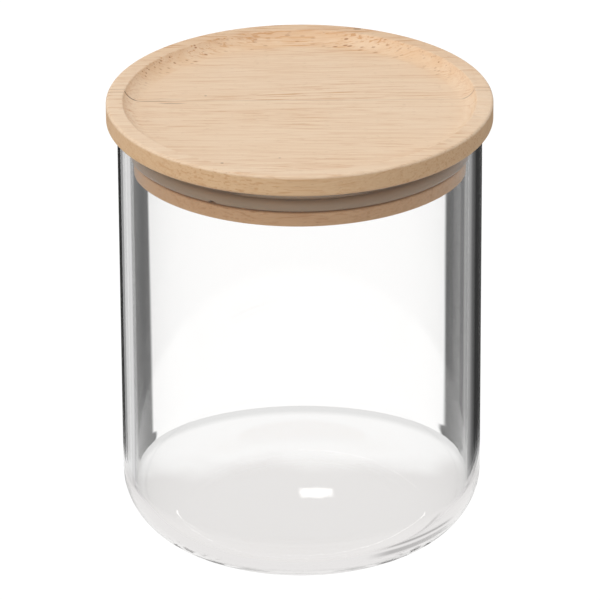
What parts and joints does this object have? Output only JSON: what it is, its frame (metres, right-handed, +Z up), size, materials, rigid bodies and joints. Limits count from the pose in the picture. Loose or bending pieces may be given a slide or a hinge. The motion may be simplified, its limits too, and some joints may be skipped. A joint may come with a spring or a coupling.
{
  "type": "lidded glass canister",
  "caption": "Round glass storage jar with a lift-off turned wooden lid, a dished top and a silicone seal around its plug.",
  "frame": {"origin": "centre of the jar's foot, on the surface that it stands on", "axes": "+Z up along the jar's axis, +X to the right along the grain of the lid, -Y to the front"},
  "size_m": [0.106, 0.106, 0.1274],
  "materials": {
    "jar_glass": "clear soda-lime glass, fire-polished",
    "lid_wood": "sanded rubberwood, thin matt oil",
    "seal_silicone": "translucent silicone, satin"
  },
  "bodies": {
    "jar": {"glass_jar": "jar_glass"},
    "lid": {"lid_board_front": "lid_wood", "lid_board_rear": "lid_wood", "seal_ring": "seal_silicone"}
  },
  "joints": [
    {"name": "lid_lift", "type": "slide", "parent": "jar", "child": "lid", "axis": [0, 0, 1], "range_m": [0, 0.12]}
  ]
}
